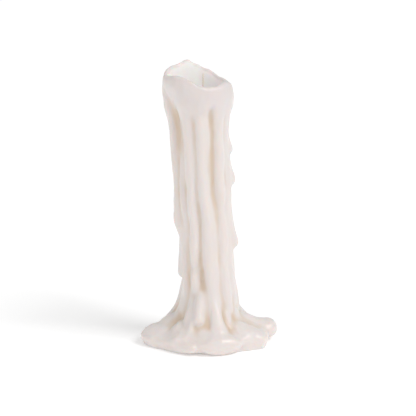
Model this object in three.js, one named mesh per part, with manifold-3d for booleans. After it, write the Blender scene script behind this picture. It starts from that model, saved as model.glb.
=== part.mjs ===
// A pillar candle that has melted down over itself: one body of wax with a cupped top, runs of wax
// down its shaft and tongues of wax spread over the table, and the cotton wick that stands in the cup.
//
// Millimetres, +Z up. The origin is on the table, where the wick's line meets it. A turn is an angle
// in degrees about +Z: 0 faces -Y, 90 faces +X, 180 faces +Y and -90 faces -X.

import * as THREE from "three";
import { mergeVertices } from "three/addons/utils/BufferGeometryUtils.js";
import Module from "manifold-3d";

const wasm = await Module();
wasm.setup();

// Driving dimensions.
const HEIGHT = 188; // nominal height of the rim, before it is waved
const RIM_TOP = HEIGHT + 0.2; // the thin inner edge of the rim stands a little higher
const LEAN = 0.05; // how far the shaft's middle moves to -X for each millimetre of height
const SHAFT = 17.4; // radius of the shaft where it is thinnest
const PUDDLE = 36; // nominal reach of the puddle that the shaft stands in
const FLARE_TOP = 44; // height at which the shaft starts to flare into the puddle
const RIM_STARTS = 150; // below this height the outer wall isn't stretched by the wave of the rim
const CUP_FLOOR = 171;
const CUP_TOP = 206; // how high the cutter of the cup reaches, past the rim
const WICK = { radius: 0.75, foot: 3, tip: 194, sides: 10, lean: 0.026 };
const BORE = { gap: 0.35, sides: 12 };
const CORE_SEGMENTS = 48;
const RUN_SIDES = 9;

// Half of the core's section as [distance from the axis, height]: from the middle of the base, up the
// outside and over to the axis again. The cup is cut out of it afterwards.
const CORE = [
  [0, 0],
  [34, 0],
  [PUDDLE, 2.4],
  [36.8, 6],
  [35.8, 9.2],
  [33, 11.8],
  [29.2, 13.6],
  [25.8, 15.6],
  [23, 18.6],
  [21, 23],
  [19.6, 28],
  [18.2, 36],
  [SHAFT, FLARE_TOP],
  [SHAFT, 75],
  [17.9, 110],
  [18.7, RIM_STARTS],
  [20.6, 164],
  [23.6, 172],
  [24.5, 178.5],
  [23.8, 184.5],
  [22.6, HEIGHT],
  [21.6, RIM_TOP],
  [0, RIM_TOP],
];
const CUP = [
  [0, CUP_FLOOR],
  [8, CUP_FLOOR],
  [15.2, 172.1],
  [18.2, 176],
  [19.9, 182],
  [20.8, 186.8],
  [21.6, CUP_TOP],
  [0, CUP_TOP],
];

// The height of the rim at each turn. Between two stops it eases from one to the other.
const RIM = [
  { turn: -180, value: 197.8 },
  { turn: -163, value: 201 },
  { turn: -135, value: 197.6 },
  { turn: -90, value: 193.6 },
  { turn: -70, value: 193.4 },
  { turn: -45, value: 194.2 },
  { turn: -25, value: 193.4 },
  { turn: -12, value: 191.4 },
  { turn: 6, value: 187.8 },
  { turn: 20, value: 186.8 },
  { turn: 36, value: 186.8 },
  { turn: 52, value: 188.4 },
  { turn: 68, value: 189 },
  { turn: 95, value: 187 },
  { turn: 130, value: 189.4 },
  { turn: 160, value: 194.2 },
];

// The reach of the puddle at each turn, where no tongue carries it further.
const SHORE = [
  { turn: -180, value: 32.5 },
  { turn: -150, value: 35.5 },
  { turn: -125, value: 32.5 },
  { turn: -92, value: 41.5 },
  { turn: -60, value: 38.5 },
  { turn: -40, value: 37.5 },
  { turn: -17, value: 31.5 },
  { turn: 13, value: 35.5 },
  { turn: 40, value: 32 },
  { turn: 60, value: 39 },
  { turn: 80, value: 38 },
  { turn: 98, value: 40.5 },
  { turn: 122, value: 32.5 },
  { turn: 148, value: 35.5 },
];

// Eases between stops placed round a circle.
function around(stops, turn) {
  const n = stops.length;
  for (let i = 0; i < n; i++) {
    const from = stops[i];
    const to = stops[(i + 1) % n];
    const span = THREE.MathUtils.euclideanModulo(to.turn - from.turn, 360);
    const past = THREE.MathUtils.euclideanModulo(turn - from.turn, 360);
    if (past <= span) {
      const share = THREE.MathUtils.smoothstep(past / span, 0, 1);
      return THREE.MathUtils.lerp(from.value, to.value, share);
    }
  }
  return stops[0].value;
}

// The core's radius at a height, on the straight lines of its section.
function coreRadius(height) {
  for (let i = 2; i < CORE.length - 1; i++) {
    const [r0, z0] = CORE[i];
    const [r1, z1] = CORE[i + 1];
    if (height <= z1) {
      return THREE.MathUtils.mapLinear(Math.max(height, z0), z0, z1, r0, r1);
    }
  }
  return SHAFT;
}

// The shaft isn't quite round: two slow waves round it, strongest towards the top.
function outOfRound(turn, height) {
  const a = THREE.MathUtils.degToRad(turn);
  const share = THREE.MathUtils.smoothstep(height, 20, HEIGHT);
  return 1 + share * (0.022 * Math.cos(2 * (a - 1)) + 0.018 * Math.sin(3 * a + 0.4));
}

// A point at a turn, a distance from the leaning axis and a height.
function place(turn, reach, height) {
  const a = THREE.MathUtils.degToRad(turn);
  return new THREE.Vector3(
    reach * Math.sin(a) - LEAN * height,
    -reach * Math.cos(a),
    height,
  );
}

// A closed three.js geometry as a manifold solid.
function solid(geometry) {
  const bare = geometry.clone();
  bare.deleteAttribute("normal");
  bare.deleteAttribute("uv");
  const merged = mergeVertices(bare, 1e-4);
  return new wasm.Manifold(
    new wasm.Mesh({
      numProp: 3,
      vertProperties: merged.attributes.position.array,
      triVerts: new Uint32Array(merged.index.array),
    }),
  );
}

// A manifold solid as a three.js geometry.
function geometryOf(made) {
  const mesh = made.getMesh();
  const geometry = new THREE.BufferGeometry();
  geometry.setAttribute("position", new THREE.BufferAttribute(mesh.vertProperties, 3));
  geometry.setIndex(new THREE.BufferAttribute(mesh.triVerts, 1));
  geometry.computeVertexNormals();
  return geometry;
}

// Moves every vertex of a geometry to where a function sends it.
function reshape(geometry, send) {
  const at = geometry.attributes.position;
  const point = new THREE.Vector3();
  for (let i = 0; i < at.count; i++) {
    point.fromBufferAttribute(at, i);
    const sent = send(point);
    at.setXYZ(i, sent.x, sent.y, sent.z);
  }
  return geometry;
}

// A section turned about the axis, then waved at the rim, spread at the foot, pushed out of round and
// leaned. Points below `low` keep their height.
function turned(section, low) {
  const points = section.map(([r, z]) => new THREE.Vector2(r, z));
  const round = new THREE.LatheGeometry(points, CORE_SEGMENTS).rotateX(Math.PI / 2);
  return reshape(round, (p) => {
    const reach = Math.hypot(p.x, p.y);
    if (reach < 1) return place(0, 0, p.z);
    const turn = THREE.MathUtils.radToDeg(Math.atan2(p.x, -p.y));
    const stretch = (around(RIM, turn) - low) / (HEIGHT - low);
    const height = p.z > low ? low + (p.z - low) * stretch : p.z;
    const spread = (around(SHORE, turn) - SHAFT) / (PUDDLE - SHAFT);
    const flared = p.z < FLARE_TOP ? SHAFT + (reach - SHAFT) * spread : reach;
    return place(turn, flared * outOfRound(turn, p.z), height);
  });
}

// A stop on a run that clings to the shaft: its face stands `proud` of the core.
function cling(turn, height, radius, proud) {
  const face = coreRadius(height) * outOfRound(turn, height) + proud;
  return { point: place(turn, face - radius, height), radius, wide: 1 };
}

// A stop on a run that has left the shaft: its middle is at `reach` and `height`, and it is `wide`
// times as wide as it is thick.
function free(turn, reach, height, radius, wide = 1) {
  return { point: place(turn, reach, height), radius, wide };
}

// The runs of wax, each from its top to its end, where it swells into a bead or spreads as a tongue.
const RUNS = [
  // On the side that faces -Y, from left to right.
  [
    cling(-86, 184, 3.4, -0.5),
    cling(-85, 150, 3.8, 2.0),
    cling(-84, 112, 4.2, 2.4),
    cling(-84, 90, 5.0, 4.4),
    cling(-83, 79, 4.0, 1.4),
  ],
  [
    cling(-82, 78, 2.8, 0.8),
    cling(-84, 62, 3.6, 2.4),
    cling(-85, 52, 4.6, 3.6),
  ],
  [
    cling(-63, 140, 2.4, -0.4),
    cling(-54, 112, 2.8, 1.2),
    cling(-51, 90, 2.8, 0.6),
  ],
  [
    cling(-67, 88, 2.8, 0.4),
    cling(-67, 68, 3.4, 1.5),
    cling(-66, 36, 3.8, 1.2),
  ],
  [
    cling(-28, 180, 4.2, -0.5),
    cling(-25, 150, 4.6, 1.8),
    cling(-25, 104, 4.2, 3.2),
    cling(-24, 86, 3.8, 3.2),
    cling(-27, 64, 3.6, 2.4),
  ],
  [
    cling(-30, 58, 2.8, 0.8),
    cling(-31, 50, 3.6, 2.6),
    cling(-31, 42, 3.0, 1.0),
  ],
  [
    cling(-19, 42, 2.6, 0.4),
    cling(-17, 34, 3.8, 2.8),
    free(-15.5, 25.2, 23.4, 4.5),
  ],
  [
    cling(3, 182, 3.8, -0.5),
    cling(3, 142, 3.8, 2.8),
    cling(5, 110, 4.2, 3.8),
    cling(10, 82, 5.0, 3.0),
    cling(11, 58, 5.0, 3.0),
    cling(13, 38, 4.8, 3.0),
    free(13, 24.4, 21, 5.2),
    free(14, 27.6, 11.6, 6.2, 1.6),
    free(14, 32.6, 7.2, 7.4, 2.3),
  ],
  [
    cling(14, 130, 3.2, 0.4),
    cling(18, 98, 3.6, 1.8),
    cling(20, 58, 3.6, 2.2),
    cling(26, 28, 4.2, 1.8),
  ],
  [
    cling(46, 180, 3.8, -0.5),
    cling(44, 142, 4.0, 2.6),
    cling(43, 111, 4.4, 3.8),
    cling(46, 76, 4.6, 3.8),
    cling(46, 60, 4.2, 2.6),
    cling(47, 40, 4.8, 3.9),
    cling(50, 27, 4.6, 2.0),
  ],
  [
    cling(63, 176, 3.2, -0.2),
    cling(62, 140, 3.4, 2.6),
    cling(63, 96, 3.8, 3.4),
    cling(62, 48, 3.8, 2.6),
  ],
  [
    cling(74, 172, 3.0, 0.6),
    cling(74, 120, 3.8, 4.4),
    cling(73, 60, 4.0, 3.8),
    cling(74, 30, 4.4, 1.8),
  ],
  [
    cling(84, 180, 3.4, 0.8),
    cling(82, 160, 4.0, 2.6),
    cling(82, 149, 4.4, 4.0),
    cling(83, 141, 4.8, 5.2),
  ],
  [
    cling(90, 144, 3.4, 2.6),
    cling(88, 128, 4.4, 4.6),
    cling(87, 119, 4.9, 6.4),
  ],
  [
    cling(82, 116, 3.2, 2.0),
    cling(83, 94, 4.4, 4.4),
    cling(85, 74, 5.0, 7.6),
  ],
  [
    cling(86, 78, 3.8, 3.6),
    cling(88, 60, 4.0, 3.6),
    cling(90, 34, 4.8, 3.8),
    cling(90, 24, 4.4, 2.0),
  ],
  // The tongues and mounds that face -Y, from left to right.
  [
    free(-86, 16, 20, 4.6),
    free(-86, 26, 15.8, 5.2, 1.2),
    free(-85, 33, 10.4, 5.7, 1.4),
    free(-81, 45.8, 4.0, 5.8, 2.2),
  ],
  [
    free(-72, 28, 9.8, 4.4, 1.2),
    free(-68, 36, 6.4, 5.6, 1.8),
  ],
  [
    free(-50, 24.5, 15.4, 4.8, 1.1),
    free(-48, 27.5, 12.8, 5.6, 1.4),
    free(-42, 33.2, 6.6, 6.4, 2.6),
  ],
  [
    free(-18, 20, 13, 5.2, 1.8),
    free(-17, 24.8, 10.4, 6.2, 2.4),
    free(-15, 28.6, 7.2, 7.0, 2.8),
  ],
  [
    free(50, 19, 16, 5.0, 1.2),
    free(58, 27, 12.0, 6.0, 1.7),
    free(66, 37.6, 6.4, 6.6, 2.5),
  ],
  [
    free(80, 24, 14.4, 5.2, 1.4),
    free(84, 31, 10.6, 5.8, 1.7),
    free(86, 37.6, 7.4, 6.6, 1.9),
  ],
  [
    free(88, 16, 19, 4.8),
    free(90, 26, 14.8, 5.8, 1.2),
    free(92, 33, 10.8, 6.6, 1.3),
    free(94, 42, 8.6, 7.6, 1.4),
  ],
  // Round to the side that faces +Y.
  [
    cling(112, 178, 3.8, -0.5),
    cling(113, 140, 4.5, 2.6),
    cling(111, 96, 4.6, 2.8),
    cling(108, 66, 5.0, 3.4),
  ],
  [
    cling(139, 178, 4.0, -0.5),
    cling(138, 130, 4.6, 2.8),
    cling(136, 84, 4.4, 2.4),
    cling(136, 40, 4.6, 3.0),
    free(136, 26, 17, 5.4, 1.3),
    free(135, 34, 7, 6.0, 1.9),
  ],
  [
    cling(164, 182, 4.0, -0.5),
    cling(165, 150, 4.4, 2.6),
    cling(163, 118, 5.2, 4.0),
  ],
  [
    cling(167, 112, 3.0, 0.2),
    cling(166, 84, 4.2, 2.4),
    cling(163, 44, 4.6, 2.8),
    free(161, 24, 19, 5.4, 1.2),
    free(160, 31, 7, 6.0, 1.9),
  ],
  [
    cling(-170, 186, 4.2, -0.5),
    cling(-169, 140, 4.8, 2.8),
    cling(-171, 92, 4.6, 2.8),
    cling(-172, 62, 5.2, 4.0),
  ],
  [
    cling(-146, 184, 4.0, -0.5),
    cling(-145, 150, 4.2, 2.4),
    cling(-144, 100, 4.6, 2.8),
    cling(-146, 42, 4.6, 3.0),
    free(-148, 25, 18, 5.6, 1.3),
    free(-149, 34, 6.5, 6.2, 2.0),
  ],
  [
    cling(-120, 182, 4.0, -0.5),
    cling(-121, 150, 4.4, 2.6),
    cling(-120, 124, 5.0, 4.0),
  ],
  [
    cling(-118, 118, 3.0, 0.2),
    cling(-117, 86, 4.2, 2.6),
    cling(-116, 44, 4.4, 2.8),
    free(-114, 24, 19, 5.2, 1.2),
    free(-113, 35, 6.5, 6.0, 1.8),
  ],
];

// A run: a turned drop, bent so that its axis follows the stops and widened where they are wide.
function run(stops) {
  const curve = new THREE.CatmullRomCurve3(stops.map((stop) => stop.point));
  const length = curve.getLength();
  const spans = stops.length - 1;
  const along = (name, share) => {
    const at = curve.getUtoTmapping(share) * spans;
    const before = Math.min(Math.floor(at), spans - 1);
    const part = THREE.MathUtils.smoothstep(at - before, 0, 1);
    return THREE.MathUtils.lerp(stops[before][name], stops[before + 1][name], part);
  };
  const rings = 2 * stops.length;
  const end = stops.at(-1).radius;
  const profile = [new THREE.Vector2(0, 0)];
  for (let i = 0; i <= rings; i++) {
    const at = THREE.MathUtils.lerp(1.5, length, i / rings);
    profile.push(new THREE.Vector2(along("radius", at / length), at));
  }
  profile.push(new THREE.Vector2(0.72 * end, length + 0.7 * end));
  profile.push(new THREE.Vector2(0, length + end));
  const drop = new THREE.LatheGeometry(profile, RUN_SIDES);
  const first = stops[0].point;
  const level = new THREE.Vector3(first.y, -(first.x + LEAN * first.z), 0).normalize();
  return reshape(drop, (p) => {
    const share = THREE.MathUtils.clamp(p.y / length, 0, 1);
    const tangent = curve.getTangentAt(share);
    const middle = curve.getPointAt(share);
    middle.addScaledVector(tangent, Math.max(p.y - length, 0));
    const out = new THREE.Vector3().crossVectors(level, tangent).normalize();
    const side = new THREE.Vector3().crossVectors(tangent, out);
    return middle.addScaledVector(side, p.x * along("wide", share)).addScaledVector(out, p.z);
  });
}

// A solid without its shut pockets. Where a run arches away from the shaft and meets it again lower
// down, the wax has filled what lies behind it.
function outside(body) {
  const shells = body.decompose();
  return shells.reduce((most, each) => (each.volume() > most.volume() ? each : most));
}

// A straight rod along the wick's line, which leans less than the wax does.
function wickLine(radius, sides, from, to) {
  return new THREE.CylinderGeometry(radius, radius, to - from, sides)
    .rotateX(Math.PI / 2)
    .translate(0, 0, (from + to) / 2)
    .applyMatrix4(new THREE.Matrix4().makeShear(0, 0, 0, 0, -WICK.lean, 0));
}

function wax() {
  const table = new THREE.BoxGeometry(200, 200, 40).translate(0, 0, -20);
  const bore = wickLine(WICK.radius + BORE.gap, BORE.sides, WICK.foot - BORE.gap, HEIGHT);
  let body = solid(turned(CORE, RIM_STARTS));
  for (const stops of RUNS) body = body.add(solid(run(stops)));
  body = outside(body);
  for (const cut of [table, bore, turned(CUP, CUP_FLOOR)]) body = body.subtract(solid(cut));
  const material = new THREE.MeshStandardMaterial({
    color: 0xece2dc,
    roughness: 0.42,
    metalness: 0,
  });
  const mesh = new THREE.Mesh(geometryOf(body), material);
  mesh.name = "wax_body";
  return mesh;
}

function wick() {
  const material = new THREE.MeshStandardMaterial({
    color: 0xefe6dc,
    roughness: 0.85,
    metalness: 0,
  });
  const mesh = new THREE.Mesh(
    wickLine(WICK.radius, WICK.sides, WICK.foot, WICK.tip),
    material,
  );
  mesh.name = "wick";
  return mesh;
}

const candle = new THREE.Group();
candle.add(wax(), wick());

export default candle;
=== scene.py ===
"""A melted pillar candle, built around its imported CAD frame.

The wax is a turned shaft with runs of wax laid down its sides and tongues spread from its foot. A
voxel remesh fuses them, a swell and a shrink let the wax flow into the corners between them, and a
cutter hollows the cup. The wick is a braid of cotton strands that stands in the cup.

Shapes are worked out in millimetres, and each finished piece is brought to metres. A turn is an
angle in degrees about +Z: 0 faces -Y, 90 faces +X, 180 faces +Y and -90 faces -X.
"""

import logging
import math
from dataclasses import dataclass
from dataclasses import field
from enum import Enum

import bmesh
import bpy
import numpy as np
from mathutils import Matrix
from mathutils import Vector
from mathutils import noise


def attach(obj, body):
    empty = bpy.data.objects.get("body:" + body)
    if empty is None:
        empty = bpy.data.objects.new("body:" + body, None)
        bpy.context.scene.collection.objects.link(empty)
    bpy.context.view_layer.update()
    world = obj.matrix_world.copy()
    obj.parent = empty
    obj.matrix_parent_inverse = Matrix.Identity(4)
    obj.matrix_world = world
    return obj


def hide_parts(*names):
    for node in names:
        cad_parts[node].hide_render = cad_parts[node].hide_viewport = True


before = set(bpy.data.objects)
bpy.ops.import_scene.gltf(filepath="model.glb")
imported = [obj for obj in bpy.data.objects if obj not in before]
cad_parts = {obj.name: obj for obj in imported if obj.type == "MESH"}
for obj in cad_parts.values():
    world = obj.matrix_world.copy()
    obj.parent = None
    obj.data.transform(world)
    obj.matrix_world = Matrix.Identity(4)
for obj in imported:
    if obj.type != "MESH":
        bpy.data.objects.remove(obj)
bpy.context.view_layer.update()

Colour = tuple[float, float, float, float]
Span = tuple[float, float]
Stops = tuple[tuple[float, float], ...]
Socket = bpy.types.NodeSocket

MM = 0.001
TOUCHING = 0.001  # mm: points closer than this are one point
ON_PLANE = 0.0001  # mm: points closer than this to a cutting plane lie on it
LOG = logging.getLogger("candle")


# ---------------------------------------------------------------------------- shared tools


def ease(share: float) -> float:
    """A share from 0 to 1, eased at both ends."""
    share = min(max(share, 0.0), 1.0)
    return share * share * (3 - 2 * share)


def around(stops: Stops, turn: float) -> float:
    """Eases between values placed round a circle.

    Args:
        stops: pairs of turn and value, in the order of their turns.
        turn: where the value is wanted, in degrees.

    Returns:
        The value at that turn.
    """
    for (start, here), (end, there) in zip(stops, stops[1:] + stops[:1]):
        span = (end - start) % 360
        past = (turn - start) % 360
        if past <= span:
            return here + (there - here) * ease(past / span)
    return stops[0][1]


def object_from(bm: bmesh.types.BMesh, name: str) -> bpy.types.Object:
    """Makes an object of a bmesh, with its faces outwards, and frees the bmesh.

    Args:
        bm: the bmesh.
        name: what the object and its mesh are called.

    Returns:
        The object, linked to the scene.
    """
    bmesh.ops.recalc_face_normals(bm, faces=bm.faces)
    mesh = bpy.data.meshes.new(name)
    bm.to_mesh(mesh)
    bm.free()
    made = bpy.data.objects.new(name, mesh)
    bpy.context.scene.collection.objects.link(made)
    return made


def settle(piece: bpy.types.Object) -> None:
    """Applies every modifier of a piece to its mesh.

    Args:
        piece: the piece, which has none left afterwards.
    """
    graph = bpy.context.evaluated_depsgraph_get()
    made = bpy.data.meshes.new_from_object(piece.evaluated_get(graph))
    piece.modifiers.clear()
    piece.data = made


def discard(piece: bpy.types.Object) -> None:
    """Removes an object that only helped to make another."""
    bpy.data.objects.remove(piece)


def vectors(mesh: bpy.types.Mesh, name: str) -> np.ndarray:
    """Reads one vector from every point of a mesh.

    Args:
        mesh: the mesh.
        name: which vector, such as co or normal.

    Returns:
        The vectors, a row for each point.
    """
    values = np.empty(len(mesh.vertices) * 3)
    mesh.vertices.foreach_get(name, values)
    return values.reshape(-1, 3)


def finished(piece: bpy.types.Object) -> bpy.types.Object:
    """Brings a piece to metres and shades it smooth.

    Args:
        piece: the piece, in millimetres.

    Returns:
        The same piece.
    """
    piece.data.transform(Matrix.Scale(MM, 4))
    piece.data.polygons.foreach_set("use_smooth", [True] * len(piece.data.polygons))
    return piece


def hang(name: str, data: bpy.types.ID, away: Vector, place: Vector) -> bpy.types.Object:
    """Puts a lamp or a camera in the scene.

    Args:
        name: what the object is called.
        data: the lamp or the camera.
        away: the direction opposite to the one that it looks in.
        place: where it is.

    Returns:
        The object.
    """
    made = bpy.data.objects.new(name, data)
    made.location = place
    made.rotation_mode = "QUATERNION"
    made.rotation_quaternion = away.to_track_quat("Z", "Y")
    bpy.context.scene.collection.objects.link(made)
    return made


def turned(section: list[tuple[float, float]], steps: int) -> bmesh.types.BMesh:
    """Spins a section about Z into a closed skin.

    Args:
        section: pairs of radius and height, from the axis round to the axis.
        steps: how many sides the skin has.

    Returns:
        The skin.
    """
    bm = bmesh.new()
    verts = [bm.verts.new((radius, 0, height)) for radius, height in section]
    edges = [bm.edges.new(pair) for pair in zip(verts, verts[1:])]
    bmesh.ops.spin(
        bm,
        geom=verts + edges,
        cent=(0, 0, 0),
        axis=(0, 0, 1),
        angle=math.tau,
        steps=steps,
        use_merge=True,
    )
    bmesh.ops.remove_doubles(bm, verts=bm.verts, dist=TOUCHING)
    return bm


@dataclass(frozen=True)
class Flow:
    """A smooth line through knots: rows of x, y, z and any further values that change along it."""

    knots: np.ndarray

    def rows(self, spacing: float) -> tuple[np.ndarray, np.ndarray]:
        """Places rows along the line.

        Args:
            spacing: about how far apart they are.

        Returns:
            The rows, and the line's direction at each.
        """
        knots = self.knots
        gaps = np.linalg.norm(np.diff(knots[:, :3], axis=0), axis=1)[:, None]
        slopes = np.diff(knots, axis=0) / gaps
        inner = (slopes[:-1] * gaps[1:] + slopes[1:] * gaps[:-1]) / (gaps[:-1] + gaps[1:])
        slopes = np.vstack([slopes[:1], inner, slopes[-1:]])
        parts = []
        for i, gap in enumerate(gaps[:, 0]):
            t = np.linspace(0, 1, max(2, round(gap / spacing)), endpoint=False)[:, None]
            away = 1 - t
            parts.append(
                (1 + 2 * t) * away**2 * knots[i]
                + t * away**2 * gap * slopes[i]
                + t**2 * (3 - 2 * t) * knots[i + 1]
                - t**2 * away * gap * slopes[i + 1]
            )
        line = np.vstack(parts + [knots[-1:]])
        ways = np.gradient(line[:, :3], axis=0)
        return line, ways / np.linalg.norm(ways, axis=1)[:, None]


def loft(places: list[Matrix], sides: int) -> bmesh.types.BMesh:
    """Makes a closed tube that runs through unit circles.

    Args:
        places: turns, stretches and moves each circle in turn.
        sides: how many sides the tube has.

    Returns:
        The tube.
    """
    bm = bmesh.new()
    last = None
    for i, place in enumerate(places):
        ends = i in (0, len(places) - 1)
        ring = bmesh.ops.create_circle(
            bm, cap_ends=ends, segments=sides, radius=1, matrix=place
        )
        edges = list(dict.fromkeys(edge for vert in ring["verts"] for edge in vert.link_edges))
        if last:
            bmesh.ops.bridge_loops(bm, edges=last + edges)
        last = edges
    return bm


def gather(bm: bmesh.types.BMesh, part: bmesh.types.BMesh) -> None:
    """Moves all of a part's skin into another bmesh, and frees the part.

    Args:
        bm: the bmesh that the skin is added to.
        part: the bmesh that it comes from.
    """
    mesh = bpy.data.meshes.new("part")
    part.to_mesh(mesh)
    part.free()
    bm.from_mesh(mesh)
    bpy.data.meshes.remove(mesh)


# ---------------------------------------------------------------------------- the shaft


@dataclass(frozen=True)
class Dent:
    """A hollow down the shaft, where little wax has run. One of a depth below 0 is a swelling."""

    turn: float  # where its deepest line starts, at its top
    top: float
    bottom: float
    deep: float
    left: float  # degrees from its deepest line to its left edge
    right: float  # and to its right edge
    drift: float = 0.0  # how far its deepest line turns from its top to its bottom
    arch: float = 9.0  # how far below its top it reaches its full depth
    tail: float = 25.0  # how far above its bottom it starts to end
    floor: float = 1.2  # over 1, so that it has a floor of some width

    def depth(self, turn: float, height: float) -> float:
        """Measures the dent at one place on the shaft.

        Args:
            turn: the place's turn.
            height: its height.

        Returns:
            How much lower the shaft's face is there.
        """
        down = (self.top - height) / (self.top - self.bottom)
        if not 0 < down < 1:
            return 0.0
        off = (turn - self.turn - self.drift * down + 180) % 360 - 180
        across = ease(self.floor * (1 - abs(off) / (self.left if off < 0 else self.right)))
        ends = ease((self.top - height) / self.arch) * ease((height - self.bottom) / self.tail)
        return self.deep * across * ends


@dataclass(frozen=True)
class Shaft:
    """The body that the runs lie on, and the places that are measured from it."""

    height: float = 188.0  # nominal height of the rim, before it is waved
    lean: float = 0.05  # how far the middle moves to -X for each millimetre of height
    thin: float = 17.2  # radius where the shaft is thinnest
    puddle: float = 36.0  # nominal reach of the puddle at the foot
    flare_top: float = 44.0
    rim_starts: float = 150.0
    cup_floor: float = 171.0
    cup_top: float = 206.0  # how high the cup's cutter reaches, past the rim
    buried: float = -6.0  # the foot is built down to here and cut flat on the table later
    toe: float = 2.0  # how far the buried foot draws in
    middle: float = 1.0  # points nearer the axis than this stay on it
    oval: Span = (0.022, 1.0)  # how far it is drawn out to an oval, and which way in radians
    trefoil: Span = (0.018, 0.4)  # how far it swells on three sides, and their turn in radians
    round_to: float = 20.0  # below this height it is round
    steps: int = 120
    ring_gap: float = 3.0  # about how far apart the rings of the shaft's skin are
    dents: tuple[Dent, ...] = (
        Dent(-77, 188, 122, 4.0, 12, 42, 17, 15, 36),
        Dent(-62, 175, 158, 1.0, 12, 18, 0, 9, 12),
        Dent(-44, 187, 171, 1.4, 14, 16, -10, 8, 10),
        Dent(32, 98, 50, 2.4, 9, 8, 2, 12, 12),
        Dent(-69, 138, 92, 1.8, 7, 8),
        Dent(-40, 122, 84, 2.0, 9, 8, 0, 12, 14),
        Dent(-50, 84, 24, 1.0, 20, 12, 0, 20, 12),
        Dent(-8.5, 162, 34, 2.9, 8, 9, -2),
        Dent(-4, 165, 124, 1.3, 7, 7, 0, 9, 14),
        Dent(25, 176, 108, 3.0, 13, 8, 5, 6, 20),
        Dent(30, 97, 66, 3.2, 7, 6, 4, 9, 9),
        Dent(32, 66, 44, 2.2, 6, 6, 0, 8, 8),
        Dent(52, 162, 138, 1.3, 6, 6, 0, 8, 8),
        Dent(58, 76, 46, 1.2, 6, 7, 0, 9, 9),
        Dent(-70, 28, 7, 1.9, 14, 14, 13, 8, 7),
        Dent(-8, 46, 3, -5.4, 26, 20, 0, 20, 5),
        Dent(-34, 40, 6, -5.4, 18, 16, 0, 18, 8),
        Dent(-24, 32, 8, -2.6, 9, 9, 0, 12, 8),
        Dent(36, 36, 3, -3.0, 14, 14, 0, 12, 5),
        Dent(84, 208, 60, -1.2, 42, 42, 0, 12, 30),
        Dent(-85, 206, 168, 0.9, 40, 40, 0, 12, 18),
        Dent(126, 172, 90, 2.6, 14, 14),
        Dent(178, 176, 70, 2.6, 14, 14),
        Dent(-134, 174, 80, 2.4, 12, 12),
        Dent(-100, 176, 110, 2.4, 12, 12),
    )
    outline: Stops = (  # radius and height, from the foot up
        (puddle, 2.5),
        (36.8, 6.0),
        (35.8, 9.2),
        (33.0, 11.8),
        (29.2, 13.6),
        (25.8, 15.6),
        (23.0, 18.6),
        (21.0, 23.0),
        (19.6, 28.0),
        (18.2, 36.0),
        (thin, flare_top),
        (thin, 75.0),
        (17.7, 110.0),
        (18.6, rim_starts),
        (20.6, 164.0),
        (23.4, 172.0),
        (24.4, 178.5),
        (23.8, 184.0),
        (22.8, 187.2),
        (21.6, 188.2),
    )
    cup: Stops = (  # radius and height, from its floor up
        (0.0, cup_floor),
        (8.0, cup_floor),
        (14.5, 172.4),
        (17.8, 176.0),
        (19.0, 182.0),
        (19.7, 186.8),
        (20.6, cup_top),
        (0.0, cup_top),
    )
    rim: Stops = (  # turn, and the rim's height there
        (-180, 197.5),
        (-163, 201.0),
        (-135, 197.4),
        (-90, 193.4),
        (-70, 193.2),
        (-45, 194.2),
        (-25, 193.4),
        (-12, 191.4),
        (6, 187.8),
        (20, 186.8),
        (36, 186.8),
        (52, 188.4),
        (68, 189.0),
        (95, 187.0),
        (130, 189.4),
        (160, 194.2),
    )
    shore: Stops = (  # turn, and how far the puddle reaches there
        (-180, 32.0),
        (-150, 35.0),
        (-125, 32.0),
        (-105, 37.0),
        (-90, 47.0),
        (-80, 49.2),
        (-68, 45.4),
        (-60, 41.0),
        (-50, 38.8),
        (-40, 38.0),
        (-17, 31.0),
        (13, 35.0),
        (27, 33.6),
        (40, 33.6),
        (50, 37.0),
        (64, 42.8),
        (75, 42.6),
        (85, 37.0),
        (98, 40.0),
        (122, 32.0),
        (148, 35.0),
    )

    def radius(self, height: float) -> float:
        """The outline's radius at a height, before it is pushed out of round."""
        radii, heights = zip(*self.outline)
        return float(np.interp(height, heights, radii))

    def out_of_round(self, turn: float, height: float) -> float:
        """Measures how far the shaft is from round.

        Args:
            turn: the turn of a place on it.
            height: the height of that place.

        Returns:
            How many times as wide as its outline the shaft is there.
        """
        a = math.radians(turn)
        share = ease((height - self.round_to) / (self.height - self.round_to))
        wide, way = self.oval
        swell, shift = self.trefoil
        return 1 + share * (wide * math.cos(2 * (a - way)) + swell * math.sin(3 * a + shift))

    def place(self, turn: float, reach: float, height: float) -> Vector:
        """The point at a turn, a distance from the leaning axis and a height."""
        a = math.radians(turn)
        return Vector((reach * math.sin(a) - self.lean * height, -reach * math.cos(a), height))

    def melted(
        self, section: list[tuple[float, float]], low: float, dents: tuple[Dent, ...] = ()
    ) -> bmesh.types.BMesh:
        """Spins a section, then waves its rim, dents it, spreads its foot, and leans it.

        Args:
            section: pairs of radius and height, from the axis round to the axis.
            low: below this height the wave of the rim moves nothing.
            dents: the hollows down its side.

        Returns:
            The closed skin.
        """
        bm = turned(section, self.steps)
        for vert in bm.verts:
            x, y, z = vert.co
            reach = math.hypot(x, y)
            if reach < self.middle:
                vert.co = self.place(0, 0, z)
                continue
            turn = math.degrees(math.atan2(x, -y))
            stretch = (around(self.rim, turn) - low) / (self.height - low)
            height = low + (z - low) * stretch if z > low else z
            if z < self.flare_top:
                spread = (around(self.shore, turn) - self.thin) / (self.puddle - self.thin)
                reach = self.thin + (reach - self.thin) * spread
            reach -= sum(dent.depth(turn, height) for dent in dents)
            vert.co = self.place(turn, reach * self.out_of_round(turn, z), height)
        return bm

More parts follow.
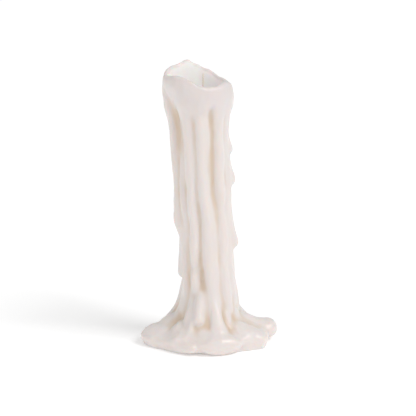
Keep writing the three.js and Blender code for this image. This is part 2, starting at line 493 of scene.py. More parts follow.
    def core(self) -> bmesh.types.BMesh:
        """Makes the solid shaft, with its rim waved and its cup not yet cut.

        Returns:
            Its closed skin.
        """
        foot = [(0.0, self.buried), (self.puddle - self.toe, self.buried)]
        top = [(0.0, self.outline[-1][1])]
        side = Flow(np.array([(r, 0, z) for r, z in self.outline])).rows(self.ring_gap)[0]
        return self.melted(foot + [(r, z) for r, _, z in side] + top, self.rim_starts, self.dents)

    def hollow(self) -> bmesh.types.BMesh:
        """The cutter of the cup."""
        return self.melted(list(self.cup), self.cup_floor)


# ---------------------------------------------------------------------------- runs of wax


class Hold(Enum):
    """What a stop on a run is measured from."""

    FACE = "its outermost side stands proud of the shaft's face"
    AXIS = "its middle is a distance from the shaft's axis"


@dataclass(frozen=True)
class Stop:
    """A place on a run: where it is, how thick the run is there, and how many times as wide."""

    hold: Hold
    turn: float
    height: float
    off: float
    radius: float
    wide: float = 1.0

    def row(self, shaft: Shaft) -> list[float]:
        """Places the stop.

        Args:
            shaft: what it is measured from.

        Returns:
            Its x, y and z, the run's radius there, and how many times as wide the run is.
        """
        reach = self.off
        if self.hold is Hold.FACE:
            face = shaft.radius(self.height) * shaft.out_of_round(self.turn, self.height)
            reach = face + self.off - self.radius
        return [*shaft.place(self.turn, reach, self.height), self.radius, self.wide]


def cling(turn: float, height: float, radius: float, proud: float, wide: float = 1.0) -> Stop:
    """A stop on a run that clings to the shaft."""
    return Stop(Hold.FACE, turn, height, proud, radius, wide)


def free(turn: float, reach: float, height: float, radius: float, wide: float = 1.0) -> Stop:
    """A stop on a run that has left the shaft."""
    return Stop(Hold.AXIS, turn, height, reach, radius, wide)


@dataclass(frozen=True)
class Run:
    """A run of wax from its top to its end, where it swells into a bead or spreads as a tongue."""

    stops: tuple[Stop, ...]
    sides: int = 20
    spacing: float = 1.6
    sway: float = 0.7  # how far it wanders to either side
    swell: float = 0.1  # by what share it thickens and thins
    wave: float = 17.0  # over what length it wanders
    apart: float = 5.17  # how far from the next run's its own stretch of noise lies
    aside: float = 9.0  # how far from the noise of its path the noise of its thickness lies
    between: float = 0.5  # off the noise's own grid, where it is always 0
    caps: tuple[float, ...] = (25, 50, 70, 84)  # latitudes of the rings that round its ends

    def skin(self, shaft: Shaft, seed: int) -> bmesh.types.BMesh:
        """Makes the run.

        Args:
            shaft: what the run's stops are measured from.
            seed: a number that no other run has, so that it wanders its own way.

        Returns:
            The run's closed skin.
        """
        knots = np.array([stop.row(shaft) for stop in self.stops])
        line, ways = Flow(knots).rows(self.spacing)
        places = []
        for i, (row, way) in enumerate(zip(line, ways)):
            at = Vector((i * self.spacing / self.wave, seed * self.apart, self.between))
            out = Vector((row[0] + shaft.lean * row[2], row[1], 0)).normalized()
            side = Vector((-out.y, out.x, 0))
            middle = Vector(row[:3]) + side * self.sway * noise.noise(at)
            radius = row[3] * (1 + self.swell * noise.noise(at + Vector((0, 0, self.aside))))
            places.append((middle, side, Vector(way), radius, row[4]))
        first, last = places[0], places[-1]
        ahead = [self.cap(last, math.radians(a), 1) for a in self.caps]
        behind = [self.cap(first, math.radians(a), -1) for a in reversed(self.caps)]
        return loft([self.ring(*each) for each in behind + places + ahead], self.sides)

    @staticmethod
    def cap(place: tuple, latitude: float, sign: int) -> tuple:
        """Places a ring beyond one end of the run, for a round end.

        Args:
            place: the run's last ring at that end.
            latitude: how far round the end the new ring lies, in radians.
            sign: 1 beyond its last ring, -1 before its first.

        Returns:
            The new ring's middle, side, way, radius and width factor.
        """
        middle, side, way, radius, wide = place
        beyond = middle + way * sign * radius * math.sin(latitude)
        return beyond, side, way, radius * math.cos(latitude), wide

    @staticmethod
    def ring(middle: Vector, side: Vector, way: Vector, radius: float, wide: float) -> Matrix:
        """Works out the matrix that puts a unit circle across the run.

        Args:
            middle: the middle of the circle.
            side: across the run, along the shaft's face.
            way: along the run.
            radius: the run's radius there.
            wide: how many times as wide as thick the run is.

        Returns:
            The matrix.
        """
        out = way.cross(side).normalized()
        columns = (side * radius * wide, out * radius, way, middle)
        return Matrix([[*(c[i] for c in columns)] for i in range(3)] + [[0, 0, 0, 1]])


FRONT_RUNS = (
    (  # the left edge, ending in a bead at half height
        cling(-86, 184, 3.2, -0.4),
        cling(-85, 172, 3.2, 0.2),
        cling(-85, 160, 3.3, 1.3),
        cling(-84, 140, 3.6, 2.6),
        cling(-84, 112, 4.0, 2.4),
        cling(-84, 98, 4.6, 3.3),
        cling(-84, 90, 4.9, 4.2),
        cling(-83, 80, 4.0, 1.6),
    ),
    (
        cling(-82, 78, 2.8, 1.0),
        cling(-84, 62, 3.6, 2.6),
        cling(-85, 52, 4.6, 3.6),
    ),
    (  # a thin run that crosses the foot of the broad hollow on the left
        cling(-60, 134, 2.2, -1.4),
        cling(-55, 114, 2.5, 1.2),
        cling(-51, 100, 2.7, 1.6),
        cling(-50, 88, 2.5, 0.4),
    ),
    (
        cling(-67, 88, 2.8, 0.4),
        cling(-67, 70, 3.2, 1.5),
        cling(-66, 50, 3.4, 1.7),
        cling(-66, 36, 3.6, 1.2),
    ),
    (  # left of the middle, ending above a bead
        cling(-24, 184, 4.0, -0.5),
        cling(-24, 160, 4.0, 1.0, 1.2),
        cling(-23, 142, 4.0, 2.4, 1.1),
        cling(-25, 120, 3.9, 2.7, 1.1),
        cling(-25, 104, 4.0, 3.2),
        cling(-24, 86, 3.6, 3.2),
        cling(-27, 70, 3.6, 3.2),
        cling(-28, 62, 2.8, 1.5),
    ),
    (
        cling(-30, 58, 2.6, 0.8),
        cling(-31, 50, 3.4, 2.6),
        cling(-31, 42, 2.8, 1.0),
    ),
    (  # the short drip that hangs over the puddle
        cling(-19, 42, 2.2, 0.2),
        cling(-17, 36, 3.5, 3.6),
        free(-16, 25.4, 23.0, 4.2),
    ),
    (  # the long run that swells, turns aside and feeds the tongue in front
        cling(3, 184, 3.6, -0.5),
        cling(3, 162, 3.5, 1.8),
        cling(3, 142, 3.4, 2.9),
        cling(3, 124, 3.6, 3.2),
        cling(5, 110, 4.0, 3.8),
        cling(8, 98, 4.4, 3.7),
        cling(10, 82, 4.5, 2.9, 1.2),
        cling(11, 58, 4.3, 2.9, 1.2),
        cling(13, 38, 4.7, 3.0, 1.1),
        free(13, 24.4, 21, 5.1),
        free(14, 27.6, 11.6, 6.0, 1.6),
        free(14, 32.2, 7.0, 7.1, 2.3),
    ),
    (
        cling(12, 168, 3.0, -0.6, 1.2),
        cling(12, 134, 3.4, 0.5, 1.2),
        cling(14, 110, 3.4, 1.0, 1.1),
        cling(19, 98, 3.2, 1.8, 1.2),
        cling(20, 78, 3.2, 2.4),
        cling(20, 58, 3.2, 2.3),
        cling(22, 42, 3.4, 1.8, 1.2),
        cling(26, 28, 4.0, 1.8, 1.4),
    ),
    (  # the long run right of the middle
        cling(46, 184, 3.6, -0.5),
        cling(45, 162, 3.7, 1.6),
        cling(44, 142, 3.9, 2.6),
        cling(42, 124, 3.9, 3.2),
        cling(43, 111, 4.2, 4.0),
        cling(44, 102, 3.8, 2.5),
        cling(46, 90, 4.2, 3.1),
        cling(46, 76, 4.5, 4.0),
        cling(46, 66, 4.0, 2.4),
        cling(46, 52, 4.3, 3.0),
        cling(47, 40, 4.6, 3.9),
        cling(50, 27, 4.6, 2.0),
    ),
    (
        cling(64, 178, 3.0, -0.4),
        cling(62, 150, 3.2, 1.8),
        cling(61, 120, 3.2, 2.4),
        cling(63, 96, 3.5, 2.8),
        cling(64, 78, 3.7, 3.2),
        cling(63, 62, 3.6, 2.4),
        cling(62, 48, 3.6, 2.0),
    ),
    (
        cling(74, 172, 2.8, 0.0),
        cling(74, 150, 3.4, 2.6),
        cling(74, 120, 3.6, 3.6),
        cling(74, 96, 3.6, 3.2),
        cling(74, 78, 3.8, 4.0),
        cling(72, 60, 3.8, 3.0),
        cling(71, 44, 4.2, 3.6),
        cling(74, 30, 4.2, 1.6),
    ),
    (  # three runs down the right edge, each ending in a bead
        cling(84, 178, 3.2, 0.0),
        cling(82, 162, 3.6, 0.6),
        cling(82, 149, 4.2, 2.6),
        cling(83, 141, 4.8, 4.9),
    ),
    (
        cling(90, 144, 3.4, 1.6),
        cling(88, 128, 4.2, 3.4),
        cling(87, 119, 4.8, 6.3),
    ),
    (
        cling(82, 116, 3.0, 1.0),
        cling(83, 94, 4.2, 3.4),
        cling(84, 82, 4.8, 4.8),
        cling(85, 74, 4.8, 6.6),
    ),
    (
        cling(86, 78, 3.6, 2.8),
        cling(88, 60, 3.8, 3.2),
        cling(89, 46, 4.2, 3.4),
        cling(90, 34, 4.6, 3.6),
        cling(90, 26, 4.4, 2.2),
    ),
)
FRONT_TONGUES = (
    (  # left
        free(-86, 16, 20, 4.4),
        free(-87, 26, 15.6, 5.0, 1.2),
        free(-86, 33, 10.2, 5.5, 1.4),
        free(-82, 39.5, 5.4, 5.0, 2.0),
    ),
    (  # the mound on the puddle, left of the middle
        free(-50, 24.5, 15.4, 4.6, 1.1),
        free(-48, 27.5, 12.8, 5.4, 1.4),
        free(-45, 30.6, 8.4, 6.2, 2.2),
        free(-42, 33.2, 6.0, 6.2, 3.0),
    ),
    (
        free(-30, 21.5, 17.0, 5.0, 2.0),
        free(-31, 26, 11.6, 5.8, 2.2),
        free(-28, 31, 6.8, 6.2, 2.4),
    ),
    (
        free(-18, 20, 15.0, 5.0, 2.0),
        free(-18, 24.6, 12.6, 6.0, 2.8),
        free(-17, 28.4, 7.2, 6.8, 3.0),
    ),
    (
        free(-4, 21.5, 16.4, 5.0, 1.8),
        free(-4, 25.6, 12.4, 6.0, 2.3),
        free(-4, 29.6, 6.6, 6.4, 2.2),
    ),
    (  # lower right
        free(50, 19, 16, 4.8, 1.2),
        free(57, 26, 12.2, 5.6, 1.6),
        free(62, 33, 8.0, 6.0, 2.2),
    ),
    (
        free(80, 24, 14.4, 5.0, 1.4),
        free(84, 31, 10.4, 5.6, 1.7),
        free(85, 36.6, 7.2, 6.2, 1.9),
    ),
    (  # upper right, a thick finger
        free(88, 16, 19, 4.6),
        free(90, 26, 14.8, 5.6, 1.2),
        free(92, 33, 10.6, 6.4, 1.3),
        free(94, 42.0, 8.4, 7.2, 1.35),
    ),
)
BACK_RUNS = (
    (
        cling(112, 178, 3.8, -0.5),
        cling(113, 140, 4.5, 2.6),
        cling(111, 96, 4.6, 2.8),
        cling(108, 66, 5.0, 3.4),
    ),
    (
        cling(139, 178, 4.0, -0.5),
        cling(138, 130, 4.6, 2.8),
        cling(136, 84, 4.4, 2.4),
        cling(136, 40, 4.6, 3.0),
        free(136, 26, 17, 5.4, 1.3),
        free(135, 33.5, 6.0, 6.0, 2.3),
    ),
    (
        cling(164, 182, 4.0, -0.5),
        cling(165, 150, 4.4, 2.6),
        cling(163, 118, 5.2, 4.0),
    ),
    (
        cling(167, 112, 3.0, 0.2),
        cling(166, 84, 4.2, 2.4),
        cling(163, 44, 4.6, 2.8),
        free(161, 24, 19, 5.4, 1.2),
        free(160, 30, 6.5, 6.0, 2.2),
    ),
    (
        cling(-170, 186, 4.2, -0.5),
        cling(-169, 140, 4.8, 2.8),
        cling(-171, 92, 4.6, 2.8),
        cling(-172, 62, 5.2, 4.0),
    ),
    (
        cling(-146, 184, 4.0, -0.5),
        cling(-145, 150, 4.2, 2.4),
        cling(-144, 100, 4.6, 2.8),
        cling(-146, 42, 4.6, 3.0),
        free(-148, 25, 18, 5.6, 1.3),
        free(-149, 33, 6.0, 6.0, 2.3),
    ),
    (
        cling(-120, 182, 4.0, -0.5),
        cling(-121, 150, 4.4, 2.6),
        cling(-120, 124, 5.0, 4.0),
    ),
    (
        cling(-118, 118, 3.0, 0.2),
        cling(-117, 86, 4.2, 2.6),
        cling(-116, 44, 4.4, 2.8),
        free(-114, 24, 19, 5.2, 1.2),
        free(-113, 34, 6.0, 6.0, 2.2),
    ),
)


# ---------------------------------------------------------------------------- finishes


@dataclass
class Nodes:
    """A material's node tree, with short ways to add to it."""

    material: bpy.types.Material
    column: int = field(default=0)

    @classmethod
    def named(cls, name: str) -> "Nodes":
        """Starts an empty material.

        Args:
            name: the material's name.

        Returns:
            Its nodes.
        """
        material = bpy.data.materials.new(name)
        material.use_nodes = True
        material.node_tree.nodes.clear()
        return cls(material)

    def add(self, kind: str, **values: object) -> bpy.types.Node:
        """Adds a node.

        Args:
            kind: the node's type, without its ShaderNode prefix.
            **values: what its properties are set to.

        Returns:
            The node.
        """
        node = self.material.node_tree.nodes.new("ShaderNode" + kind)
        node.location = (200 * self.column, 0)
        self.column += 1
        for name, value in values.items():
            setattr(node, name, value)
        return node

    def link(self, start: Socket, end: Socket) -> None:
        """Joins an output to an input."""
        self.material.node_tree.links.new(start, end)

    def shader(self, **sockets: object) -> bpy.types.Node:
        """Adds a Principled shader and the output.

        Args:
            **sockets: values of its inputs, named in lower case with underscores.

        Returns:
            The shader.
        """
        shader = self.add("BsdfPrincipled")
        for name, value in sockets.items():
            wanted = name.replace("_", " ").lower()
            found = [each for each in shader.inputs if each.name.lower() == wanted]
            found[0].default_value = value
        out = self.add("OutputMaterial")
        self.link(shader.outputs[0], out.inputs["Surface"])
        return shader

    def noise(self, scale: float, detail: float = 2.0, stretch: float = 1.0) -> Socket:
        """Adds a noise on the object's own coordinates.

        Args:
            scale: waves for each metre across the piece.
            detail: how many finer layers it has.
            stretch: how many times as long as wide its blotches are, along Z.

        Returns:
            The noise's value.
        """
        place = self.add("TexCoord")
        mapping = self.add("Mapping")
        mapping.inputs["Scale"].default_value = (1, 1, 1 / stretch)
        self.link(place.outputs["Object"], mapping.inputs["Vector"])
        texture = self.add("TexNoise")
        texture.inputs["Scale"].default_value = scale
        texture.inputs["Detail"].default_value = detail
        self.link(mapping.outputs["Vector"], texture.inputs["Vector"])
        return texture.outputs["Fac"]

    def spread(self, value: Socket, start: Span, end: Span = (0, 1)) -> Socket:
        """Maps a value from one range to another, and clamps it there.

        Args:
            value: the value.
            start: the range that it comes from.
            end: the range that it is spread over.

        Returns:
            The value in its new range.
        """
        node = self.add("MapRange")
        node.inputs["From Min"].default_value = start[0]
        node.inputs["From Max"].default_value = start[1]
        node.inputs["To Min"].default_value = end[0]
        node.inputs["To Max"].default_value = end[1]
        self.link(value, node.inputs["Value"])
        return node.outputs["Result"]

    def mix(self, share: Socket, start: Socket | Colour, end: Socket | Colour) -> Socket:
        """Mixes two colours, each of them a value or a socket.

        Args:
            share: 0 for the first colour to 1 for the second.
            start: the first colour.
            end: the second colour.

        Returns:
            The mixed colour.
        """
        node = self.add("Mix", data_type="RGBA")  # its colour sockets are numbers 6, 7 and 2
        self.link(share, node.inputs[0])
        for socket, colour in ((node.inputs[6], start), (node.inputs[7], end)):
            if isinstance(colour, Socket):
                self.link(colour, socket)
            else:
                socket.default_value = colour
        return node.outputs[2]

    def bump(self, height: Socket, depth: float, under: Socket | None = None) -> Socket:
        """Adds a bump.

        Args:
            height: how high the surface is, from 0 to 1.
            depth: how deep that is, in metres.
            under: the output of a bump that this one lies on.

        Returns:
            The bumped normal.
        """
        node = self.add("Bump")
        node.inputs["Strength"].default_value = 1.0
        node.inputs["Distance"].default_value = depth
        self.link(height, node.inputs["Height"])
        if under:
            self.link(under, node.inputs["Normal"])
        return node.outputs["Normal"]


MARKS = ("hollow", "thin", "inside_glow")  # what the wax stores at each of its points, from 0 to 1: where painted shade falls in the hollows and on the thin walls, and where painted light falls on the cup's inside


@dataclass(frozen=True)
class WaxFinish:
    """Off-white paraffin: light passes a little way in. The hollows are painted darker and creamier
    as painted shade, the thin walls are painted greyer as painted shade, and the cup's inside is
    painted lighter as painted light.
    """

    crest: Colour = (0.77, 0.705, 0.672, 1)
    milky: Colour = (0.78, 0.727, 0.705, 1)
    # painted shade: the darker, creamier colour of the hollows, for the shade there and the light
    # that scatters deeper in the wax
    hollow: Colour = (0.71, 0.58, 0.465, 1)
    thin: Colour = (0.72, 0.665, 0.655, 1)  # painted shade: greyer where the wax is a thin wall that light goes through
    # painted light: the cup's inside is lighter, standing in for the light that comes through its
    # wall
    inside_glow: Colour = (0.94, 0.92, 0.905, 1)
    roughness: Span = (0.30, 0.42)
    ripple: float = 0.00022  # metres: how deep the slow waves of the set surface are
    grain: float = 0.00003
    scatter: tuple[float, float, float] = (1.0, 0.66, 0.48)
    scatter_reach: float = 0.0025  # metres that red light passes in

    def material(self) -> bpy.types.Material:
        """Makes the wax.

        Returns:
            The material, which reads the marks stored on the piece.
        """
        nodes = Nodes.named("wax")
        marks = [nodes.add("Attribute", attribute_name=name).outputs["Fac"] for name in MARKS]
        cloud = nodes.spread(nodes.noise(scale=55, detail=3, stretch=3), (0.35, 0.7))
        colour = nodes.mix(cloud, self.crest, self.milky)
        # paints shade into the hollows, greyer shade onto the thin walls, and light onto the cup's
        # inside
        for mark, tint in zip(marks, (self.hollow, self.thin, self.inside_glow)):
            colour = nodes.mix(mark, colour, tint)
        rough = nodes.spread(nodes.noise(scale=90, detail=3, stretch=2), (0.3, 0.7), self.roughness)
        ripple = nodes.bump(nodes.noise(scale=220, stretch=2.5), self.ripple)
        grain = nodes.bump(nodes.noise(scale=900), self.grain, ripple)
        shader = nodes.shader(
            subsurface_weight=0.7,
            subsurface_radius=self.scatter,
            subsurface_scale=self.scatter_reach,
            ior=1.44,
            coat_weight=0.45,
            coat_roughness=0.3,
        )
        nodes.link(colour, shader.inputs["Base Color"])
        nodes.link(rough, shader.inputs["Roughness"])
        nodes.link(grain, shader.inputs["Normal"])
        return nodes.material


@dataclass(frozen=True)
class CottonFinish:
    """Unburnt cotton, stiff with wax: off-white strands with fibres along them."""

    light: Colour = (0.93, 0.88, 0.81, 1)
    dark: Colour = (0.84, 0.76, 0.66, 1)
    roughness: Span = (0.6, 0.85)
    fibre: float = 0.00005  # metres that a fibre stands up

    def material(self) -> bpy.types.Material:
        """Makes the cotton.

        Returns:
            The material.
        """
        nodes = Nodes.named("wick_cotton")
        fibres = nodes.noise(scale=6000, detail=3, stretch=5)
        colour = nodes.mix(nodes.spread(fibres, (0.35, 0.65)), self.dark, self.light)
        rough = nodes.spread(nodes.noise(scale=700), (0.3, 0.7), self.roughness)
        normal = nodes.bump(fibres, self.fibre)
        shader = nodes.shader(subsurface_weight=0.3, subsurface_scale=0.0006, sheen_weight=0.2)
        nodes.link(colour, shader.inputs["Base Color"])
        nodes.link(rough, shader.inputs["Roughness"])
        nodes.link(normal, shader.inputs["Normal"])
        return nodes.material


# ---------------------------------------------------------------------------- the wax


@dataclass(frozen=True)
class Lumps:
    """How the set surface wanders in and out, in blotches drawn out along the shaft."""

    depth: float = 0.34
    wide: float = 5.0  # the large blotches, and the small ones below
    long: float = 19.0
    small_wide: float = 2.6
    small_long: float = 6.0
    small_share: float = 0.35
    aside: float = 40.0  # how far from the large blotches' noise the small ones' lies

    def height(self, place: Vector) -> float:
        """Measures how far the surface moves out.

        Args:
            place: a point of it.

        Returns:
            The move, in millimetres.
        """
        x, y, z = place
        large = noise.noise(Vector((x / self.wide, y / self.wide, z / self.long)))
        at = (x / self.small_wide, y / self.small_wide, z / self.small_long + self.aside)
        return self.depth * (large + self.small_share * noise.noise(Vector(at)))


@dataclass(frozen=True)
class Marking:
    """Where the marks of painted shade and painted light that the finish reads begin, and how soon
    they are full.
    """

    rounds: int = 90  # how many times each point is averaged with its neighbours
    shallow: float = 0.1  # a point this far below the wax around it starts to be painted as a shaded hollow
    deepens: float = 1.0  # and this much lower still it is a full one
    past_wall: float = 0.9  # how far beyond the cup's nominal wall its inside is looked for
    past_facing: float = 1.8  # and how much further where the wax faces the axis
    facing: float = 4.0  # how soon a point counts as facing the axis, as it turns to it
    blend: float = 0.6  # over what distance the inside's painted light fades out
    collar: float = 0.55  # how thin the collar's wall counts as, which sets how much painted shade it gets
    collar_starts: float = 164.0
    collar_rise: float = 14.0  # over what height its wall thins
    lip: float = 0.6  # how thin the lip counts as, which sets how much painted shade it gets
    lip_starts: float = 2.6  # how far below the rim
    lip_rise: float = 1.6  # over what height it thins
    lip_pales: float = 0.8  # how much of the inside's painted light the lip loses
    rim_lowest: float = 160.0  # no point below this height is near the rim


@dataclass
class Wax:
    """All of the wax: shaft, cup, runs, beads and tongues, fused into one body."""

    shaft: Shaft = field(default_factory=Shaft)
    runs: tuple[tuple[Stop, ...], ...] = FRONT_RUNS + FRONT_TONGUES + BACK_RUNS
    finish: WaxFinish = field(default_factory=WaxFinish)
    voxel: float = 0.8
    fillet: float = 1.0  # radius to which wax has flowed into a corner
    smoothing: int = 6
    softness: float = 0.5  # how far towards its neighbours each smoothing moves a point
    bore: float = 0.8  # radius of the hole that the wick stands in
    bore_foot: float = 2.8
    bore_sides: int = 20
    lumps: Lumps = field(default_factory=Lumps)
    marking: Marking = field(default_factory=Marking)

    def build(self) -> bpy.types.Object:
        """Makes the body of wax.

        Returns:
            The piece, in metres.
        """
        piece = self.fused()
        self.hollow_out(piece)
        self.flow(piece)
        self.keep_outside(piece)
        self.roughen(piece)
        self.stand(piece)
        self.drill(piece)
        self.mark(piece)
        return finished(piece)

    def fused(self) -> bpy.types.Object:
        """Joins the shaft and its runs by one remesh.

        Returns:
            The piece, solid and still in millimetres.
        """
        bm = self.shaft.core()
        for seed, stops in enumerate(self.runs):
            gather(bm, Run(stops).skin(self.shaft, seed))
        piece = object_from(bm, "wax")
        self.remesh(piece)
        settle(piece)
        return piece

    def remesh(self, piece: bpy.types.Object) -> None:
        """Adds a voxel remesh to a piece.

        Args:
            piece: the piece, which keeps the modifier until it is settled.
        """
        fuse = piece.modifiers.new("fuse", "REMESH")
        fuse.mode = "VOXEL"
        fuse.voxel_size = self.voxel

    def hollow_out(self, piece: bpy.types.Object) -> None:
        """Cuts the cup."""
        self.cut(piece, object_from(self.shaft.hollow(), "cup_cutter"))

    @staticmethod
    def cut(piece: bpy.types.Object, cutter: bpy.types.Object) -> None:
        """Takes a cutter out of a piece and discards the cutter.

        Args:
            piece: what is cut.
            cutter: the shape that is taken away.
        """
        taking = piece.modifiers.new("cut", "BOOLEAN")
        taking.operation = "DIFFERENCE"
        taking.solver = "EXACT"
        taking.object = cutter
        settle(piece)
        discard(cutter)

    def flow(self, piece: bpy.types.Object) -> None:
        """Swells and shrinks the wax, which fills its corners with fillets, and smooths it.

        Args:
            piece: the wax.
        """
        for strength in (self.fillet, -self.fillet):
            swell = piece.modifiers.new("swell", "DISPLACE")
            swell.mid_level = 0
            swell.strength = strength
            self.remesh(piece)
        soften = piece.modifiers.new("soften", "SMOOTH")
        soften.factor = self.softness
        soften.iterations = self.smoothing
        settle(piece)

    @staticmethod
    def keep_outside(piece: bpy.types.Object) -> None:
        """Deletes the shut pockets left behind runs that arch away from the shaft.

        Args:
            piece: the wax.
        """
        bm = bmesh.new()
        bm.from_mesh(piece.data)
        todo = set(bm.verts)
        shells = []
        while todo:
            shell = {todo.pop()}
            newest = set(shell)
            while newest:
                newest = {e.other_vert(v) for v in newest for e in v.link_edges} - shell
                shell |= newest
            todo -= shell
            shells.append(shell)
        shells.sort(key=len)
        spare = [vert for shell in shells[:-1] for vert in shell]
        bmesh.ops.delete(bm, geom=spare, context="VERTS")
        bm.to_mesh(piece.data)
        bm.free()

    def roughen(self, piece: bpy.types.Object) -> None:
        """Moves the surface in and out a little.

        Args:
            piece: the wax.
        """
        bm = bmesh.new()
        bm.from_mesh(piece.data)
        bm.normal_update()
        moves = [vert.normal * self.lumps.height(vert.co) for vert in bm.verts]
        for vert, move in zip(bm.verts, moves):
            vert.co += move
        bm.to_mesh(piece.data)
        bm.free()

    @staticmethod
    def stand(piece: bpy.types.Object) -> None:
        """Cuts the foot off flat where it meets the table, and closes it.

        Args:
            piece: the wax.
        """
        bm = bmesh.new()
        bm.from_mesh(piece.data)
        everything = bm.verts[:] + bm.edges[:] + bm.faces[:]
        cut = bmesh.ops.bisect_plane(
            bm,
            geom=everything,
            dist=ON_PLANE,
            plane_co=(0, 0, 0),
            plane_no=(0, 0, -1),
            clear_outer=True,
        )
        rim = [e for e in cut["geom_cut"] if isinstance(e, bmesh.types.BMEdge)]
        bmesh.ops.triangle_fill(bm, use_beauty=True, edges=rim, normal=(0, 0, -1))
        bm.to_mesh(piece.data)
        bm.free()

    def drill(self, piece: bpy.types.Object) -> None:
        """Makes the blind hole that the wick stands in.

        Args:
            piece: the wax.
        """
        wick = Wick()
        places = [wick.axis(height) for height in (self.bore_foot, self.shaft.height)]
        rings = [Matrix.Translation(place) @ Matrix.Scale(self.bore, 4) for place in places]
        self.cut(piece, object_from(loft(rings, self.bore_sides), "bore_cutter"))

    def mark(self, piece: bpy.types.Object) -> None:
        """Stores the marks that the finish reads as painted shade and painted light.

        Args:
            piece: the wax, still in millimetres.
        """
        mesh = piece.data
        co, normals = vectors(mesh, "co"), vectors(mesh, "normal")
        values = (self.hollows(mesh, co, normals), *self.top_marks(co, normals))
        for name, value in zip(MARKS, values):
            stored = mesh.attributes.new(name, "FLOAT", "POINT")
            stored.data.foreach_set("value", np.clip(value, 0, 1))

    def hollows(self, mesh: bpy.types.Mesh, co: np.ndarray, normals: np.ndarray) -> np.ndarray:
        """Measures how deep each point lies below the wax around it.

        Args:
            mesh: the wax.
            co: where its points are.
            normals: which way the wax faces at each point.

        Returns:
            0 or less on a crest to 1 or more in a hollow, for each point: how much painted shade it
            gets.
        """
        ends = np.empty(len(mesh.edges) * 2, int)
        mesh.edges.foreach_get("vertices", ends)
        a, b = ends.reshape(-1, 2).T
        count = np.bincount(a, minlength=len(co)) + np.bincount(b, minlength=len(co))
        level = co.copy()
        for _ in range(self.marking.rounds):
            total = np.empty_like(level)
            for axis in range(3):
                line = level[:, axis]
                total[:, axis] = np.bincount(a, line[b], len(co)) + np.bincount(b, line[a], len(co))
            level = total / np.maximum(count, 1)[:, None]
        below = ((level - co) * normals).sum(1)
        return (below - self.marking.shallow) / self.marking.deepens

    def top_marks(self, co: np.ndarray, normals: np.ndarray) -> tuple[np.ndarray, np.ndarray]:
        """Finds the collar's thin wall and the inside of the cup, where shade and light are
        painted.

        Args:
            co: where the wax's points are.
            normals: which way the wax faces at each of them.

        Returns:
            How thin the wax counts as at each point, for its painted shade, and how far it is the
            cup's inside, for its painted light, from 0 to 1.
        """
        shaft, marking = self.shaft, self.marking
        x, y, z = co.T
        x = x + shaft.lean * z
        reach = np.hypot(x, y)
        radii, heights = zip(*shaft.cup)
        wall = np.interp(z, heights[1:-1], radii[1:-1])
        inwards = np.clip(-marking.facing * (normals[:, 0] * x + normals[:, 1] * y) / reach, 0, 1)
        spare = wall + marking.past_wall + marking.past_facing * inwards - reach
        # how much painted light the cup's inside gets
        inside_glow = np.clip(spare / marking.blend, 0, 1) * (z > shaft.cup_floor - 1)
        high = z > marking.rim_lowest
        turns = np.degrees(np.arctan2(x, -y))
        below = np.full(len(z), np.inf)
        below[high] = np.array([around(shaft.rim, turn) for turn in turns[high]]) - z[high]
        collar = np.clip((z - marking.collar_starts) / marking.collar_rise, 0, 1)
        lip = np.clip((marking.lip_starts - below) / marking.lip_rise, 0, 1)
        # how much painted shade the thin wall of the collar and of the lip gets
        thin = np.maximum(marking.collar * collar, marking.lip * lip)
        return thin, inside_glow * (1 - marking.lip_pales * lip)

    def dress(self, piece: bpy.types.Object) -> None:
        """Gives the piece its finish and its place in the frame.

        Args:
            piece: the finished piece.
        """
        piece.data.materials.append(self.finish.material())
        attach(piece, "root")
        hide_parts("wax_body")


# ---------------------------------------------------------------------------- the wick


@dataclass
class Wick:
    """The cotton wick: strands braided round each other, from near the base to above the cup."""

    radius: float = 0.75
    foot: float = 3.0
    tip: float = 194.0
    lean: float = 0.026
    strands: int = 3
    strand: float = 0.5  # a strand's radius, as a share of the wick's
    frayed: float = 0.5  # how much lower each strand ends than the one before it
    pitch: float = 5.4  # length of one turn of the braid
    step: float = 0.45
    sides: int = 8
    finish: CottonFinish = field(default_factory=CottonFinish)

    def axis(self, height: float) -> Vector:
        """The middle of the wick at a height."""
        return Vector((-self.lean * height, 0, height))

    def build(self) -> bpy.types.Object:
        """Makes the wick.

        Returns:
            The piece, in metres.
        """
        thick = self.strand * self.radius
        bm = bmesh.new()
        for strand in range(self.strands):
            phase = math.tau * strand / self.strands
            foot, tip = self.foot + thick, self.tip - thick - self.frayed * strand
            places = []
            for i in range(round((tip - foot) / self.step) + 1):
                height = foot + i * self.step
                a = math.tau * (height - self.foot) / self.pitch + phase
                swing = self.radius - thick  # each strand swings in a figure of eight
                off = Vector((swing * math.sin(a), swing * math.sin(2 * a), 0))
                places.append(Matrix.Translation(self.axis(height) + off) @ Matrix.Scale(thick, 4))
            gather(bm, loft(places, self.sides))
        return finished(object_from(bm, "wick_braid"))

    def dress(self, piece: bpy.types.Object) -> None:
        """Gives the piece its finish and its place in the frame.

        Args:
            piece: the finished piece.
        """
        piece.data.materials.append(self.finish.material())
        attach(piece, "root")
        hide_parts("wick")


# ---------------------------------------------------------------------------- the studio


@dataclass(frozen=True)
class Softbox:
    """A square lamp that faces the middle of the candle."""

    name: str
    azimuth: float  # degrees from -Y, towards +X
    elevation: float
    size: float
    power: float
    distance: float = 1.1
    faces: float = 0.1  # the height that it faces

    def build(self) -> None:
        """Makes the lamp."""
        lamp = bpy.data.lights.new(self.name, "AREA")
        lamp.shape = "SQUARE"
        lamp.size = self.size
        lamp.energy = self.power
        a, b = math.radians(self.azimuth), math.radians(self.elevation)
        away = Vector((math.sin(a) * math.cos(b), -math.cos(a) * math.cos(b), math.sin(b)))
        hang(self.name, lamp, away, away * self.distance + Vector((0, 0, self.faces)))


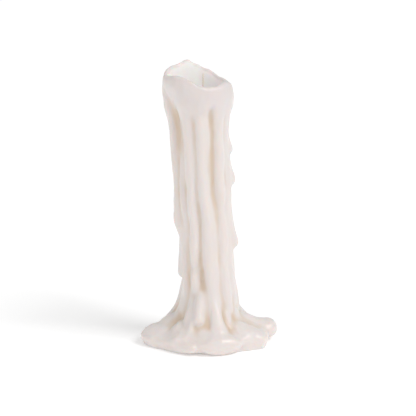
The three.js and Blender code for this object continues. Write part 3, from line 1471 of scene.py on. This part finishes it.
@dataclass
class Studio:
    """A pale glowing floor, soft light from the right, two softboxes in front, and the camera."""

    floor_half: float = 3.0
    floor_colour: Colour = (0.97, 0.97, 0.97, 1)
    floor_glow: float = 0.17
    surround: float = 0.61
    sun: float = 1.2
    sun_angle: float = 28.0  # degrees: how wide the soft light is
    sun_from: tuple[float, float, float] = (0.67, -0.40, 0.86)
    boxes: tuple[Softbox, ...] = (
        Softbox("softbox_left", -40, 10, 0.26, 0.9),
        Softbox("softbox_front", -8, 6, 0.12, 0.25),
    )
    elevation: float = 13.5
    distance: float = 1.0
    lens: float = 122.6
    sensor: float = 36.0
    aim: tuple[float, float, float] = (-0.0016, 0.0, 0.098)

    def build(self) -> None:
        """Makes the floor, the lights and the camera."""
        self.floor()
        self.lights()
        self.camera()

    def floor(self) -> None:
        """The floor, which reaches past every view."""
        bm = bmesh.new()
        bmesh.ops.create_grid(bm, x_segments=1, y_segments=1, size=self.floor_half)
        piece = object_from(bm, "floor")
        nodes = Nodes.named("floor")
        nodes.shader(
            base_color=self.floor_colour,
            roughness=0.9,
            specular_ior_level=0.0,
            emission_color=(1, 1, 1, 1),
            emission_strength=self.floor_glow,
        )
        piece.data.materials.append(nodes.material)

    def lights(self) -> None:
        """The white surround, one broad soft light and the softboxes that the wax mirrors."""
        world = bpy.data.worlds.new("surround")
        world.use_nodes = True
        back = world.node_tree.nodes["Background"]
        back.inputs["Color"].default_value = (1, 1, 1, 1)
        back.inputs["Strength"].default_value = self.surround
        bpy.context.scene.world = world
        lamp = bpy.data.lights.new("key", "SUN")
        lamp.energy = self.sun
        lamp.angle = math.radians(self.sun_angle)
        hang("key", lamp, Vector(self.sun_from), Vector())
        for box in self.boxes:
            box.build()

    def camera(self) -> None:
        """A long lens, a little above the rim."""
        a = math.radians(self.elevation)
        back = Vector((0, -math.cos(a), math.sin(a)))
        camera = bpy.data.cameras.new("camera")
        camera.sensor_width = self.sensor
        camera.lens = self.lens
        place = Vector(self.aim) + back * self.distance
        bpy.context.scene.camera = hang("camera", camera, back, place)
        bpy.context.scene.view_settings.view_transform = "Standard"


# ---------------------------------------------------------------------------- the candle


def main() -> None:
    """Builds the pieces in order, reports each, and sets up the studio."""
    logging.basicConfig(level=logging.INFO, format="%(name)s: %(message)s")
    for maker in (Wax(), Wick()):
        piece = maker.build()
        maker.dress(piece)
        piece.data.calc_loop_triangles()
        LOG.info("%s has %d triangles", piece.name, len(piece.data.loop_triangles))
    Studio().build()


if __name__ == "__main__":
    main()
